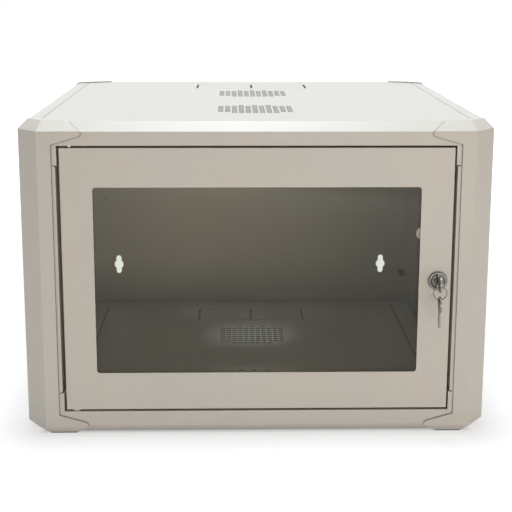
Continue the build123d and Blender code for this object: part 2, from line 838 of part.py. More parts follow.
def clip_nut():
    """The nut of a clip."""
    y0 = glass_front + glass_thick + clip_sheet
    return hexagon_y(glass_overlap + clip_stud_out, 0, y0, y0 + clip_nut_thick,
                     clip_nut_flats, clip_stud_r + plug_clear)


def at_clips(make):
    """One piece at every clip."""
    return Compound(children=[
        Pos(x, 0, z) * Rot(0, turn, 0) * make(shift) for x, z, turn, shift in clip_places()
    ])


def door_pads():
    """Rubber pads on the frame's stop, behind the door's free edge."""
    x = opening_half - stop_width / 2
    pads = [rod_y(x, z, door_back + seat_gap, stop_front, pad_r)
            for z in (door_low + pad_from_end, door_high - pad_from_end)]
    return Compound(children=pads)


def lower_hinge_pin():
    """Fixed pin under the door, headed below the frame's lip."""
    seat = opening_low - frame_sheet
    pin = rod_z(hinge_x, hinge_y, seat, door_low + lower_pin_up, pin_r)
    pin = chamfer(pin.edges().group_by(Axis.Z)[-1], pin_tip_chamfer)
    return pin + rod_z(hinge_x, hinge_y, seat - lower_pin_head, seat, lower_pin_head_r)


def hinge_washer():
    """Nylon washer that carries the door."""
    top = door_low - washer_slack
    ring = rod_z(hinge_x, hinge_y, opening_low, top, washer_r)
    return ring - rod_z(hinge_x, hinge_y, opening_low - 1, top + 1, pin_r + 2 * pin_clear)


collar_top = guide_high - guide_sheet - cam_gap


def upper_hinge_pin():
    """Sprung pin at the top of the door, with a collar and a bent finger."""
    top = opening_high + upper_pin_into_frame
    pin = rod_z(hinge_x, hinge_y, upper_pin_low, top, pin_r)
    pin = chamfer(pin.edges().group_by(Axis.Z)[-1], pin_tip_chamfer)
    pin += rod_z(hinge_x, hinge_y, collar_top - pin_collar_thick, collar_top, pin_collar_r)
    finger = rod_x(hinge_y, upper_pin_low + pin_r, hinge_x, hinge_x + pin_finger_long, pin_r - 1)
    return pin + finger


def upper_hinge_guide():
    """Bracket on the door that guides the sprung pin."""
    half = guide_wide / 2
    y0 = door_front + door_sheet
    y1 = door_back - door_sheet - guide_behind
    sheet = guide_sheet
    guide = block(hinge_x - half, hinge_x + half, y0, y0 + sheet, guide_low, guide_high)
    for z0 in (guide_low, guide_high - sheet):
        guide += block(hinge_x - half, hinge_x + half, y0, y1, z0, z0 + sheet)
    return guide - rod_z(hinge_x, hinge_y, guide_low - 1, guide_high + 1, pin_r + pin_clear)


def upper_hinge_spring():
    """Compression spring under the pin's collar."""
    wire = spring_wire_r
    low = guide_low + guide_sheet + wire + spring_end_gap
    high = collar_top - pin_collar_thick - wire - spring_end_gap
    radius = pin_r + wire + spring_over_pin
    path = Helix(pitch=(high - low) / spring_turns, height=high - low, radius=radius)
    section = Plane(origin=path @ 0, z_dir=path % 0) * RegularPolygon(wire, 6)
    coil = sweep(section, path=path, is_frenet=True)
    return Pos(hinge_x, hinge_y, low) * coil


lock_face = door_front - lock_face_proud


def lock_body():
    """Cam lock housing: round face, threaded barrel with flats."""
    barrel = rod_y(lock_x, lock_z, door_front, lock_barrel_end, lock_barrel_r)
    face = rod_y(lock_x, lock_z, lock_face, door_front, lock_face_r)
    front_edge = face.edges().filter_by(GeomType.CIRCLE).sort_by(Axis.Y)[0]
    housing = barrel + fillet(front_edge, lock_face_round)
    return housing - rod_y(lock_x, lock_z, lock_face - 1, lock_barrel_end + 1,
                           lock_plug_r + plug_clear)


def lock_nut():
    """Hexagon nut behind the door sheet."""
    seat = door_front + door_sheet
    return hexagon_y(lock_x, lock_z, seat, seat + lock_nut_thick, lock_nut_flats,
                     lock_barrel_r + plug_clear)


def lock_plug():
    """Turning core of the lock, with its keyway."""
    front = lock_face + plug_sunk
    core = rod_y(lock_x, lock_z, front, lock_barrel_end + cam_gap, lock_plug_r)
    half_x = key_thick / 2 + key_clear
    half_z = key_blade_tall / 2 + key_clear
    core -= block(lock_x - half_x, lock_x + half_x, front - 1,
                  lock_face + key_blade_in + keyway_spare, lock_z - half_z, lock_z + half_z)
    return core - rod_y(lock_x, lock_z, lock_barrel_end - cam_screw_long - 1,
                        lock_barrel_end + 1, cam_hole_r)


def lock_cam():
    """Tongue of the lock, hanging down when unlocked."""
    tongue = cam_plate(cam_long, cam_wide, cam_thick, cam_hole_r)
    y = lock_barrel_end + cam_gap + cam_thick / 2
    return Pos(lock_x, y, lock_z) * Rot(90, 0, 0) * Rot(0, 0, -90) * tongue


def cam_screw():
    """Screw that holds the tongue on the core."""
    seat = lock_barrel_end + cam_gap + cam_thick
    return (rod_y(lock_x, lock_z, seat, seat + cam_screw_head, cam_screw_head_r)
            + rod_y(lock_x, lock_z, lock_barrel_end - cam_screw_long, seat, cam_screw_r))


bow_y = lock_face - key_neck - key_bow_r
ring_y = bow_y - key_hole_out
ring_top = lock_z - key_hole_r + ring_wire_r + ring_play
ring_z = ring_top - ring_r
spare_hole_z = ring_z - ring_r + ring_wire_r + ring_play - key_hole_r
spare_bow_z = spare_hole_z + key_hole_r + spare_hole_edge - key_bow_r
spare_low = spare_bow_z + key_bow_r - spare_total


def key():
    """Key in the lock: round bow with a hole, neck and blade."""
    bow = rod_x(bow_y, lock_z, lock_x - key_thick / 2, lock_x + key_thick / 2, key_bow_r)
    bow += block(lock_x - key_thick / 2, lock_x + key_thick / 2, bow_y,
                 lock_face + key_blade_in, lock_z - key_blade_tall / 2,
                 lock_z + key_blade_tall / 2)
    for notch in range(key_notches):
        y = lock_face + (notch + 1) * key_notch_pitch
        cut = Rot(45, 0, 0) * Box(2 * key_thick, key_notch, key_notch)
        bow -= Pos(lock_x, y, lock_z - key_blade_tall / 2) * cut
    return bow - rod_x(ring_y, lock_z, lock_x - 2, lock_x + 2, key_hole_r)


def key_ring():
    """Wire ring through the key's hole."""
    return Pos(lock_x, ring_y, ring_z) * Rot(90, 0, 0) * Torus(ring_r, ring_wire_r)


def spare_key():
    """Second key, hanging on the ring."""
    x0 = lock_x - key_thick / 2
    x1 = lock_x + key_thick / 2
    bow = rod_x(ring_y, spare_bow_z, x0, x1, key_bow_r)
    bow += block(x0, x1, ring_y - key_blade_tall / 2, ring_y + key_blade_tall / 2,
                 spare_low, spare_bow_z)
    for notch in range(key_notches):
        z = spare_low + (notch + 1) * key_notch_pitch
        cut = Rot(45, 0, 0) * Box(2 * key_thick, key_notch, key_notch)
        bow -= Pos(lock_x, ring_y + key_blade_tall / 2, z) * cut
    return bow - rod_x(ring_y, spare_hole_z, x0 - 1, x1 + 1, key_hole_r)


front_reach = ring_y - key_bow_r
origin_y = (front_reach + depth) / 2

post = corner_post()
rail_top = side_rail_top()
rail_base = side_rail_low()
bracket_low = depth_bracket(True)
bracket_high = depth_bracket(False)
rack = rack_rail()

pieces = {
    "front_frame": front_frame(),
    "rear_frame": rear_frame(),
    "corner_post_front_right": post,
    "corner_post_front_left": mirror_x(post),
    "corner_post_rear_right": mirror_y(post),
    "corner_post_rear_left": mirror_y(mirror_x(post)),
    "top_rail_right": rail_top,
    "top_rail_left": mirror_x(rail_top),
    "base_rail_right": rail_base,
    "base_rail_left": mirror_x(rail_base),
    "top_panel": top_panel(),
    "bottom_panel": bottom_panel(),
    "rear_panel": rear_panel(),
    "rear_panel_screws": back_panel_screws(),
    "rack_rail_right": rack,
    "rack_rail_left": mirror_x(rack),
    "depth_bracket_low_right": bracket_low,
    "depth_bracket_low_left": mirror_x(bracket_low),
    "depth_bracket_high_right": bracket_high,
    "depth_bracket_high_left": mirror_x(bracket_high),
    "rack_rail_screws": rack_rail_screws(),
    "rack_rail_nuts": rack_rail_nuts(),
    "bracket_screws": bracket_screws(),
    "earth_stud": earth_stud(),
    "earth_nut": earth_nut(),
    "door_pads": door_pads(),
    "lower_hinge_pin": lower_hinge_pin(),
    "hinge_washer": hinge_washer(),
    "door_frame": door_frame(),
    "glass_seal": glass_seal(),
    "door_glass": door_glass(),
    "glass_clips": at_clips(glass_clip),
    "glass_clip_studs": at_clips(lambda shift: clip_stud()),
    "glass_clip_nuts": at_clips(lambda shift: clip_nut()),
    "upper_hinge_guide": upper_hinge_guide(),
    "upper_hinge_spring": upper_hinge_spring(),
    "upper_hinge_pin": upper_hinge_pin(),
    "lock_body": lock_body(),
    "lock_nut": lock_nut(),
    "lock_plug": lock_plug(),
    "lock_cam": lock_cam(),
    "lock_cam_screw": cam_screw(),
    "key": key(),
    "key_ring": key_ring(),
    "spare_key": spare_key(),
}
for name, make in (
    ("side_panel", side_panel), ("side_latch_body", side_latch_body),
    ("side_latch_nut", side_latch_nut), ("side_latch_plug", side_latch_plug),
    ("side_latch_cam", side_latch_cam),
):
    piece = make()
    pieces[name + "_right"] = piece
    pieces[name + "_left"] = mirror_x(piece)

os.makedirs("parts", exist_ok=True)
for name, piece in pieces.items():
    export_step(Pos(0, -origin_y, 0) * piece, f"parts/{name}.step")
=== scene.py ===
import json
from math import cos, pi, radians, sin

import bmesh
import bpy
from mathutils import Matrix, Vector


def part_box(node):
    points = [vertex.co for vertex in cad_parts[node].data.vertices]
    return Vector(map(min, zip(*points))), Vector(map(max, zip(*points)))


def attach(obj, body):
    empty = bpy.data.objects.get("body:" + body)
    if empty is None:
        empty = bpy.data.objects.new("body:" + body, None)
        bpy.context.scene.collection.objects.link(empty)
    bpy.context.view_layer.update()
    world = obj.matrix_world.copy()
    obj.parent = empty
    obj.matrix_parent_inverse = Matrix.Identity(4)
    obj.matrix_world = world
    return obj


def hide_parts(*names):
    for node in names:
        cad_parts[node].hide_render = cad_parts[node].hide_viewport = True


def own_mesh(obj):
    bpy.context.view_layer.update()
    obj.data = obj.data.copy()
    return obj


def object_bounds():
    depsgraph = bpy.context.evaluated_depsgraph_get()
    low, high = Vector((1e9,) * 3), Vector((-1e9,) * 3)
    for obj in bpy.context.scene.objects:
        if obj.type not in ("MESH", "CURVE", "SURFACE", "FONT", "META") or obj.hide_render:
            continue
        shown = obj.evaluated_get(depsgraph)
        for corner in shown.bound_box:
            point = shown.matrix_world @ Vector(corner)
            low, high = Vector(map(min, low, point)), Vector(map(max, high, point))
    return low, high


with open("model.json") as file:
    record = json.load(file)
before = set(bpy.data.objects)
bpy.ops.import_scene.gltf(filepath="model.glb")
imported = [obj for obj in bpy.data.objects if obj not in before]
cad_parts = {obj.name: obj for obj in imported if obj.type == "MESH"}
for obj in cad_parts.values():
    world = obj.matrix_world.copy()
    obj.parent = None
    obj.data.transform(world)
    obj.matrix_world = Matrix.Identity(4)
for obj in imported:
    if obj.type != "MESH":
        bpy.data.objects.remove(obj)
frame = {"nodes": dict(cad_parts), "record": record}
cad_box = [list(corner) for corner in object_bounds()]
nodes = frame["nodes"]
body_of_node = {
    node: body
    for body, members in frame["record"]["behaviour"]["bodies"].items()
    for node in members
}
slot_of_node = {entry["node"]: entry["material_slot"] for entry in frame["record"]["subparts"]}
scene = bpy.context.scene

# Colours are linear red, green and blue.
POWDER_COAT = (0.600, 0.575, 0.530)
POWDER_COAT_WARM = (0.614, 0.578, 0.528)
POWDER_COAT_COOL = (0.586, 0.573, 0.534)
ZINC = (0.50, 0.50, 0.48)
CLIP_PAINTED_GLINT = (0.70, 0.735, 0.74)
SPRING_WIRE = (0.13, 0.128, 0.12)
# Chrome and nickel are darker than the real metals: painted reflection of dark surroundings.
CHROME_DARK_REFLECTED = (0.24, 0.245, 0.23)
NICKEL_DARK_REFLECTED = (0.27, 0.255, 0.225)
RUBBER = (0.018, 0.018, 0.017)
NYLON = (0.72, 0.70, 0.64)
GLASS_TINT = (0.69, 0.70, 0.62)
GLASS_FACE = (1.0, 0.985, 0.93)
FLOOR_BOUNCE = (0.80, 0.775, 0.735)
FLOOR_SHOWN = (0.34, 0.34, 0.34)
ROOM_LIGHT = (1.0, 0.89, 0.79)
WHITE = (1.0, 1.0, 1.0)

WORN_AND_LIT_EDGE_SHARE = 1.10      # edges are this much lighter than the coat: partly wear, partly a painted highlight on the rounded edges
PAINTED_SEAM_SHADE_SHARE = 0.22           # painted shade in the seams goes down to this share of the coat's colour


# Shader groups: each is built once and placed in the finishes with its own values.

def new_group(name, inputs, outputs):
    """A node group with float inputs and outputs, and nothing between them."""
    group = bpy.data.node_groups.new(name, "ShaderNodeTree")
    for label, value in inputs:
        socket = group.interface.new_socket(label, in_out="INPUT", socket_type="NodeSocketFloat")
        socket.default_value = value
    for label in outputs:
        group.interface.new_socket(label, in_out="OUTPUT", socket_type="NodeSocketFloat")
    start = group.nodes.new("NodeGroupInput")
    end = group.nodes.new("NodeGroupOutput")
    return group, start, end


def add(tree, kind, **settings):
    """A new node with its properties set."""
    node = tree.nodes.new(kind)
    for key, value in settings.items():
        setattr(node, key, value)
    return node


def arithmetic(tree, operation, *terms):
    """A Math node; each term is a number or an output."""
    node = add(tree, "ShaderNodeMath", operation=operation)
    for socket, term in zip(node.inputs, terms):
        if isinstance(term, (int, float)):
            socket.default_value = term
        else:
            tree.links.new(term, socket)
    return node.outputs[0]


def object_place(tree):
    """Object coordinates, in metres."""
    return add(tree, "ShaderNodeTexCoord").outputs["Object"]


def noise(tree, place, scale, detail, roughness=0.5):
    """A noise texture's value; the scale is a number or an output."""
    node = add(tree, "ShaderNodeTexNoise")
    node.inputs["Detail"].default_value = detail
    node.inputs["Roughness"].default_value = roughness
    tree.links.new(place, node.inputs["Vector"])
    if isinstance(scale, (int, float)):
        node.inputs["Scale"].default_value = scale
    else:
        tree.links.new(scale, node.inputs["Scale"])
    return node.outputs["Fac"]


def clamped(tree, value):
    """A value kept between 0 and 1."""
    clamp = add(tree, "ShaderNodeClamp")
    tree.links.new(value, clamp.inputs["Value"])
    return clamp.outputs[0]


def make_orange_peel():
    """The fine skin of a powder coat, with slow changes of tone over the sheet."""
    group, start, end = new_group(
        "orange_peel",
        (("Peel Scale", 700.0), ("Cloud Scale", 5.0)),
        ("Height", "Cloud", "Speck"),
    )
    place = object_place(group)
    peel = noise(group, place, start.outputs["Peel Scale"], detail=3.0, roughness=0.6)
    cloud = noise(group, place, start.outputs["Cloud Scale"], detail=3.0, roughness=0.55)
    speck = noise(group, place, 2600.0, detail=1.0)
    group.links.new(peel, end.inputs["Height"])
    group.links.new(cloud, end.inputs["Cloud"])
    group.links.new(speck, end.inputs["Speck"])
    return group


def make_edge_wear_and_highlight():
    """A mask along sheet edges, broken up by noise, for wear and a painted highlight."""
    group, start, end = new_group(
        "edge_wear_and_highlight",
        (("Breakup Scale", 60.0), ("Amount", 1.0)),
        ("Mask",),
    )
    rounded = add(group, "ShaderNodeBevel", samples=4)
    rounded.inputs["Radius"].default_value = 0.0009
    flat = add(group, "ShaderNodeNewGeometry")
    dot = add(group, "ShaderNodeVectorMath", operation="DOT_PRODUCT")
    group.links.new(rounded.outputs[0], dot.inputs[0])
    group.links.new(flat.outputs["Normal"], dot.inputs[1])
    bend = arithmetic(group, "SUBTRACT", 1.0, dot.outputs["Value"])
    bend_gain = 5.0
    edge = arithmetic(group, "MULTIPLY", bend, bend_gain)
    broken = noise(group, object_place(group), start.outputs["Breakup Scale"], detail=4.0,
                   roughness=0.6)
    worn_and_lit = arithmetic(group, "MULTIPLY", edge, broken)
    mask = arithmetic(group, "MULTIPLY", worn_and_lit, start.outputs["Amount"])
    group.links.new(clamped(group, mask), end.inputs["Mask"])
    return group


WELD_LEVELS = (0.058, 0.352)        # heights of the lower and the upper weld marks


def make_weld_dimples():
    """Faint round marks of the spot welds on the corner facets, alike at the four corners."""
    group, start, end = new_group(
        "weld_dimples",
        (("Radius", 0.0042), ("Middle Y", 0.01525), ("X", 0.2865), ("Y", 0.2605)),
        ("Height",),
    )
    apart = add(group, "ShaderNodeSeparateXYZ")
    group.links.new(object_place(group), apart.inputs[0])
    x = arithmetic(group, "ABSOLUTE", apart.outputs["X"])
    from_middle = arithmetic(group, "SUBTRACT", apart.outputs["Y"], start.outputs["Middle Y"])
    y = arithmetic(group, "ABSOLUTE", from_middle)
    dx = arithmetic(group, "SUBTRACT", x, start.outputs["X"])
    dy = arithmetic(group, "SUBTRACT", y, start.outputs["Y"])
    heights = []
    for level in WELD_LEVELS:
        dz = arithmetic(group, "SUBTRACT", apart.outputs["Z"], level)
        near = add(group, "ShaderNodeCombineXYZ")
        for socket, value in zip(near.inputs, (dx, dy, dz)):
            group.links.new(value, socket)
        length = add(group, "ShaderNodeVectorMath", operation="LENGTH")
        group.links.new(near.outputs[0], length.inputs[0])
        share = arithmetic(group, "DIVIDE", length.outputs["Value"], start.outputs["Radius"])
        ramp = add(group, "ShaderNodeMapRange", interpolation_type="SMOOTHSTEP")
        ramp.inputs["From Min"].default_value = 0.55
        ramp.inputs["From Max"].default_value = 1.0
        group.links.new(share, ramp.inputs["Value"])
        heights.append(ramp.outputs["Result"])
    both = arithmetic(group, "MULTIPLY", *heights)
    group.links.new(both, end.inputs["Height"])
    return group


def make_plating_grain():
    """The crystalline mottle and fine scratches of zinc or nickel plate."""
    group, start, end = new_group(
        "plating_grain",
        (("Crystal Scale", 500.0), ("Scratch Scale", 1600.0)),
        ("Mottle", "Scratch"),
    )
    place = object_place(group)
    cells = add(group, "ShaderNodeTexVoronoi")
    group.links.new(place, cells.inputs["Vector"])
    group.links.new(start.outputs["Crystal Scale"], cells.inputs["Scale"])
    shade = add(group, "ShaderNodeSeparateColor")
    group.links.new(cells.outputs["Color"], shade.inputs[0])
    group.links.new(shade.outputs[0], end.inputs["Mottle"])
    stretch = add(group, "ShaderNodeMapping")
    stretch.inputs["Scale"].default_value = (1.0, 1.0, 0.06)
    group.links.new(place, stretch.inputs["Vector"])
    scratch = noise(group, stretch.outputs[0], start.outputs["Scratch Scale"], detail=2.0)
    group.links.new(scratch, end.inputs["Scratch"])
    return group


def make_seam_shade():
    """A mask in the seams and corners, for painted shade."""
    group, start, end = new_group(
        "seam_shade",
        (("Reach", 0.002), ("Amount", 0.5)),
        ("Mask",),
    )
    hidden = add(group, "ShaderNodeAmbientOcclusion", samples=6)
    group.links.new(start.outputs["Reach"], hidden.inputs["Distance"])
    shut = arithmetic(group, "SUBTRACT", 1.0, hidden.outputs["AO"])
    seam = arithmetic(group, "MULTIPLY", shut, start.outputs["Amount"])
    group.links.new(clamped(group, seam), end.inputs["Mask"])
    return group


orange_peel = make_orange_peel()
edge_wear_and_highlight = make_edge_wear_and_highlight()
weld_dimples = make_weld_dimples()
plating_grain = make_plating_grain()
seam_shade = make_seam_shade()


# Finishes

def new_finish(name, colour, roughness, metallic=0.0):
    """A material with its Principled shader."""
    finish = bpy.data.materials.new(name)
    finish.use_nodes = True
    shader = finish.node_tree.nodes["Principled BSDF"]
    shader.inputs["Base Color"].default_value = (*colour, 1.0)
    shader.inputs["Roughness"].default_value = roughness
    shader.inputs["Metallic"].default_value = metallic
    return finish, finish.node_tree, shader


def use_group(tree, group, **values):
    """A node group placed in a material with its own values."""
    node = add(tree, "ShaderNodeGroup", node_tree=group)
    for key, value in values.items():
        node.inputs[key.replace("_", " ")].default_value = value
    return node


def mixed(tree, factor, first, second):
    """A colour mix; each colour is a tuple or an output."""
    node = add(tree, "ShaderNodeMix", data_type="RGBA")
    tree.links.new(factor, node.inputs["Factor"])
    for socket, colour in ((node.inputs[6], first), (node.inputs[7], second)):
        if isinstance(colour, tuple):
            socket.default_value = (*colour, 1.0)
        else:
            tree.links.new(colour, socket)
    return node.outputs[2]


def spread(tree, value, low, high, start=0.0, stop=1.0):
    """A value carried from the range start to stop into the range low to high."""
    node = add(tree, "ShaderNodeMapRange")
    node.inputs["From Min"].default_value = start
    node.inputs["From Max"].default_value = stop
    node.inputs["To Min"].default_value = low
    node.inputs["To Max"].default_value = high
    tree.links.new(value, node.inputs["Value"])
    return node.outputs["Result"]


def bumped(tree, height, strength, distance):
    """A Bump node that reads a height."""
    bump = add(tree, "ShaderNodeBump")
    bump.inputs["Strength"].default_value = strength
    bump.inputs["Distance"].default_value = distance
    tree.links.new(height, bump.inputs["Height"])
    return bump


def share_of(colour, share):
    """A colour made lighter or darker."""
    return tuple(part * share for part in colour)


def powder_coat(name, dimples=False, wear_and_highlight=0.5, seams=2.6):
    """Light warm grey powder coat on sheet steel."""
    finish, tree, shader = new_finish(name, POWDER_COAT, roughness=0.36)
    peel = use_group(tree, orange_peel, Peel_Scale=520.0, Cloud_Scale=6.0)
    tone = spread(tree, peel.outputs["Cloud"], low=0.0, high=1.0, start=0.35, stop=0.65)
    coat = mixed(tree, tone, POWDER_COAT_COOL, POWDER_COAT_WARM)
    # Lighter edges: partly wear, partly a painted highlight.
    worn_and_lit = use_group(tree, edge_wear_and_highlight, Breakup_Scale=70.0, Amount=wear_and_highlight)
    coat = mixed(tree, worn_and_lit.outputs["Mask"], coat, share_of(POWDER_COAT, WORN_AND_LIT_EDGE_SHARE))
    # Painted shade in the seams and corners, darkest in the narrow gaps.
    seam = use_group(tree, seam_shade, Reach=0.0028, Amount=seams)
    coat = mixed(tree, seam.outputs["Mask"], coat, share_of(POWDER_COAT, PAINTED_SEAM_SHADE_SHARE))
    tree.links.new(coat, shader.inputs["Base Color"])
    tree.links.new(spread(tree, peel.outputs["Speck"], low=0.31, high=0.41),
                   shader.inputs["Roughness"])
    skin = bumped(tree, peel.outputs["Height"], strength=0.30, distance=0.0003)
    if dimples:
        marks = use_group(tree, weld_dimples)
        dent = bumped(tree, marks.outputs["Height"], strength=0.5, distance=0.0006)
        tree.links.new(dent.outputs[0], skin.inputs["Normal"])
    tree.links.new(skin.outputs[0], shader.inputs["Normal"])
    return finish


def plated(name, colour, roughness, mottle=0.06, crystal=500.0):
    """Bright plated metal, or drawn wire."""
    finish, tree, shader = new_finish(name, colour, roughness, metallic=1.0)
    grain = use_group(tree, plating_grain, Crystal_Scale=crystal, Scratch_Scale=1600.0)
    dark = share_of(colour, 1 - mottle * 2)
    tree.links.new(mixed(tree, grain.outputs["Mottle"], dark, colour), shader.inputs["Base Color"])
    gloss = spread(tree, grain.outputs["Scratch"], low=roughness * 0.75, high=roughness * 1.3,
                   start=0.3, stop=0.7)
    tree.links.new(gloss, shader.inputs["Roughness"])
    bump = bumped(tree, grain.outputs["Scratch"], strength=0.06, distance=0.0001)
    tree.links.new(bump.outputs[0], shader.inputs["Normal"])
    return finish


def moulded(name, colour, roughness, speck=0.25):
    """A matt, fine and uneven skin: rubber, nylon, and the glass clips, whose pale colour is a
    painted glint.
    """
    finish, tree, shader = new_finish(name, colour, roughness)
    peel = use_group(tree, orange_peel, Peel_Scale=1500.0, Cloud_Scale=40.0)
    dark = share_of(colour, 1 - speck)
    tree.links.new(mixed(tree, peel.outputs["Cloud"], dark, colour), shader.inputs["Base Color"])
    gloss = spread(tree, peel.outputs["Speck"], low=roughness - 0.1, high=roughness + 0.1)
    tree.links.new(gloss, shader.inputs["Roughness"])
    bump = bumped(tree, peel.outputs["Height"], strength=0.15, distance=0.0002)
    tree.links.new(bump.outputs[0], shader.inputs["Normal"])
    return finish


def door_pane(name):
    """Slightly tinted toughened glass that lets the lamps through."""
    finish, tree, shader = new_finish(name, GLASS_TINT, roughness=0.02)
    shader.inputs["Transmission Weight"].default_value = 1.0
    shader.inputs["IOR"].default_value = 1.32
    smear = use_group(tree, orange_peel, Peel_Scale=30.0, Cloud_Scale=9.0)
    gloss = spread(tree, smear.outputs["Cloud"], low=0.01, high=0.035, start=0.35, stop=0.65)
    tree.links.new(gloss, shader.inputs["Roughness"])
    clear = add(tree, "ShaderNodeBsdfTransparent")
    clear.inputs["Color"].default_value = (*GLASS_FACE, 1.0)
    path = add(tree, "ShaderNodeLightPath")
    through = arithmetic(tree, "MAXIMUM", path.outputs["Is Shadow Ray"],
                         path.outputs["Is Diffuse Ray"])
    either = add(tree, "ShaderNodeMixShader")
    tree.links.new(through, either.inputs[0])
    tree.links.new(shader.outputs[0], either.inputs[1])
    tree.links.new(clear.outputs[0], either.inputs[2])
    tree.links.new(either.outputs[0], tree.nodes["Material Output"].inputs["Surface"])
    return finish


finishes = {
    "body_paint": powder_coat("powder_coat_sheet"),
    "rail_zinc": plated("zinc_sheet", ZINC, roughness=0.38, mottle=0.10, crystal=260.0),
    "fastener_zinc": plated("zinc_fastener", ZINC, roughness=0.30),
    "spring_steel": plated("spring_steel_wire", SPRING_WIRE, roughness=0.22),
    "lock_chrome": plated("polished_chrome", CHROME_DARK_REFLECTED, roughness=0.07, mottle=0.02),
    "key_nickel": plated("nickel_key", NICKEL_DARK_REFLECTED, roughness=0.26, mottle=0.05),
    "seal_rubber": moulded("black_rubber", RUBBER, roughness=0.62),
    "door_glazing": door_pane("door_pane_glass"),
    "washer_nylon": moulded("natural_nylon", NYLON, roughness=0.45, speck=0.05),
}
post_coat = powder_coat("powder_coat_post", dimples=True, wear_and_highlight=0.7)
# The same coat with less painted seam shade and less edge lightening.
back_coat = powder_coat("powder_coat_back", wear_and_highlight=0.3, seams=0.25)
# Pale matt colour in place of the zinc's metal sheen: a painted glint on the glass clips.
clip_painted_glint = moulded("glass_clip_painted_glint", CLIP_PAINTED_GLINT, roughness=0.42)


def finish_of(node):
    """The finish of a node."""
    if node.startswith("corner_post"):
        return post_coat
    if node in ("rear_frame", "rear_panel", "rear_panel_screws"):
        return back_coat
    if node == "glass_clips":
        return clip_painted_glint
    if node in ("earth_nut", "earth_stud"):
        return finishes["spring_steel"]
    return finishes[slot_of_node[node]]


for name, obj in nodes.items():
    obj.data.materials.clear()
    obj.data.materials.append(finish_of(name))


# Pieces made from the frame's nodes, with their edges rounded

MERGE_DISTANCE = 1e-6
FOLD_RADIUS = 0.0014
CUT_RADIUS = 0.00025
VENT_CUT_RADIUS = 0.0007
VENTED_SHORTEST = 0.1       # on a vented panel only edges longer than this are rounded
EASED_RADIUS = 0.0003
KEY_EDGE_RADIUS = 0.0002
SHEET_LIMIT = 0.0024        # faces narrower than this are the cut edges of a sheet
HARD_TURN = radians(40)     # a made shape is shaded sharp where it turns more
LEAST_TURN = radians(25)    # a sheet's edge that turns less isn't rounded
FULL_TURN = radians(60)     # a fold that turns more gets the full radius
SLIGHT_FOLD_SHARE = 0.6     # and one that turns less gets this share of it


def to_piece(shape, node, ending):
    """A finished piece that stands for a node and rides on the node's body."""
    name = node + ending
    mesh = bpy.data.meshes.new(name)
    shape.to_mesh(mesh)
    shape.free()
    mesh.materials.append(finish_of(node))
    mesh.shade_smooth()
    obj = bpy.data.objects.new(name, mesh)
    scene.collection.objects.link(obj)
    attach(obj, body_of_node[node])
    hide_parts(node)
    return obj


def merged_copy(node):
    """A bmesh copy of a node, with its doubles merged and its flat faces joined."""
    copy = bmesh.new()
    copy.from_mesh(nodes[node].data)
    bmesh.ops.remove_doubles(copy, verts=copy.verts, dist=MERGE_DISTANCE)
    bmesh.ops.dissolve_limit(copy, angle_limit=radians(0.5), verts=copy.verts, edges=copy.edges)
    return copy


def with_sharp_edges(shape):
    """Normals outwards, and sharp edges where the shape turns hard."""
    bmesh.ops.recalc_face_normals(shape, faces=shape.faces)
    for edge in shape.edges:
        if len(edge.link_faces) == 2 and edge.calc_face_angle(0.0) > HARD_TURN:
            edge.smooth = False
    return shape


def mean_width(face):
    """A long face's width."""
    return 2 * face.calc_area() / face.calc_perimeter()


def mark_edges(copy, cut_share, shortest):
    """Bevel weights: full on outward folds, slight on cut edges, none in inner corners."""
    weight = copy.edges.layers.float.new("bevel_weight_edge")
    for edge in copy.edges:
        if len(edge.link_faces) != 2:
            continue
        turn = edge.calc_face_angle_signed(0.0)
        if abs(turn) < LEAST_TURN:
            continue
        if edge.calc_length() < shortest:
            edge.smooth = False
            continue
        thin = min(mean_width(face) for face in edge.link_faces) < SHEET_LIMIT
        if turn < 0:
            edge.smooth = False
        elif thin:
            edge[weight] = cut_share
        else:
            edge[weight] = 1.0 if turn > FULL_TURN else SLIGHT_FOLD_SHARE


def round_edges(piece, width, segments, past=None):
    """Rounds the edges that turn more than an angle, or the weighted ones if none is given."""
    bevel = piece.modifiers.new("rounded_edges", "BEVEL")
    bevel.width = width
    bevel.segments = segments
    if past is None:
        bevel.limit_method = "WEIGHT"
    else:
        bevel.limit_method = "ANGLE"
        bevel.angle_limit = past


def flatten_faces(piece):
    """Keeps the shading flat on the faces beside the rounded edges."""
    flat = piece.modifiers.new("flat_faces", "WEIGHTED_NORMAL")
    flat.keep_sharp = True


def folded_sheet(node, cut=CUT_RADIUS, shortest=0.0):
    """A piece like the node, with rounded folds and slightly broken cut edges."""
    copy = merged_copy(node)
    mark_edges(copy, cut / FOLD_RADIUS, shortest)
    piece = to_piece(copy, node, "_folded")
    round_edges(piece, FOLD_RADIUS, 3)
    flatten_faces(piece)


def eased(node):
    """A piece like the node, with all its edges a little rounded."""
    piece = to_piece(merged_copy(node), node, "_eased")
    round_edges(piece, EASED_RADIUS, 2, past=radians(30))
    flatten_faces(piece)


def coined_key(node):
    """A key with a raised rim stamped round both of its faces."""
    copy = merged_copy(node)
    for side in (-1, 1):
        flat = [face for face in copy.faces if face.normal.x * side > 0.99]
        widest = max(flat, key=lambda face: face.calc_area())
        bmesh.ops.inset_region(copy, faces=[widest], thickness=0.0009, depth=-0.00035)
    piece = to_piece(with_sharp_edges(copy), node, "_coined")
    round_edges(piece, KEY_EDGE_RADIUS, 2, past=radians(35))


# Turned pieces: screws, the stud, the locks' housings and the ring

QUARTER_TURN = (0.0, pi / 8, pi / 4, 3 * pi / 8, pi / 2)


